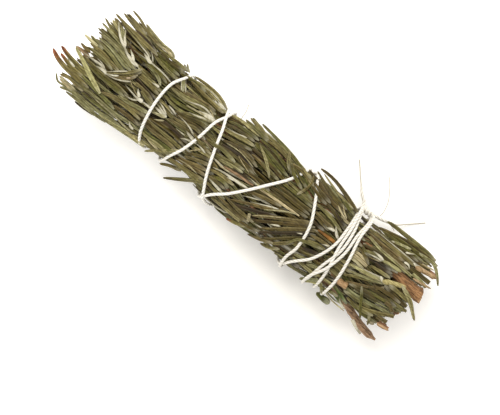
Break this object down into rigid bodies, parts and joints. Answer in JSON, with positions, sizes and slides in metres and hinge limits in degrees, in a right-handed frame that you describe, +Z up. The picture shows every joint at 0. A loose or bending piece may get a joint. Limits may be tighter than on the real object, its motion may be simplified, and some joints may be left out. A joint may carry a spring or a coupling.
{
  "type": "rosemary bundle",
  "caption": "Bundle of dried rosemary sprigs laid side by side, leafy tips at one end and cut woody stems at the other, bound along its length with white cotton string.",
  "frame": {"origin": "centre of the underside of the whole bundle's box, on the surface that the bundle lies on", "axes": "X runs along the bundle, with the leafy tips towards -X and the cut stem ends towards +X; Y is across it, with the string's knot on the +Y side; Z is up"},
  "size_m": [0.1436, 0.0458, 0.0246],
  "materials": {
    "leaf": "dry leathery leaf, matte, dull grey-green above and pale felted below",
    "stem": "dry bark, rough, with pale cut ends",
    "string": "plied cotton string, matte and slightly fuzzy"
  },
  "bodies": {
    "root": {"sprig_01_stem": "stem", "sprig_01_leaves": "leaf", "sprig_02_stem": "stem", "sprig_02_leaves": "leaf", "sprig_03_stem": "stem", "sprig_03_leaves": "leaf", "sprig_04_stem": "stem", "sprig_04_leaves": "leaf", "sprig_05_stem": "stem", "sprig_05_leaves": "leaf", "sprig_06_stem": "stem", "sprig_06_leaves": "leaf", "sprig_07_stem": "stem", "sprig_07_leaves": "leaf", "sprig_08_stem": "stem", "sprig_08_leaves": "leaf", "sprig_09_stem": "stem", "sprig_09_leaves": "leaf", "sprig_10_stem": "stem", "sprig_10_leaves": "leaf", "sprig_11_stem": "stem", "sprig_11_leaves": "leaf", "sprig_12_stem": "stem", "sprig_12_leaves": "leaf", "string_wraps": "string", "string_knot": "string", "string_tail_a": "string", "string_tail_b": "string"}
  },
  "joints": []
}
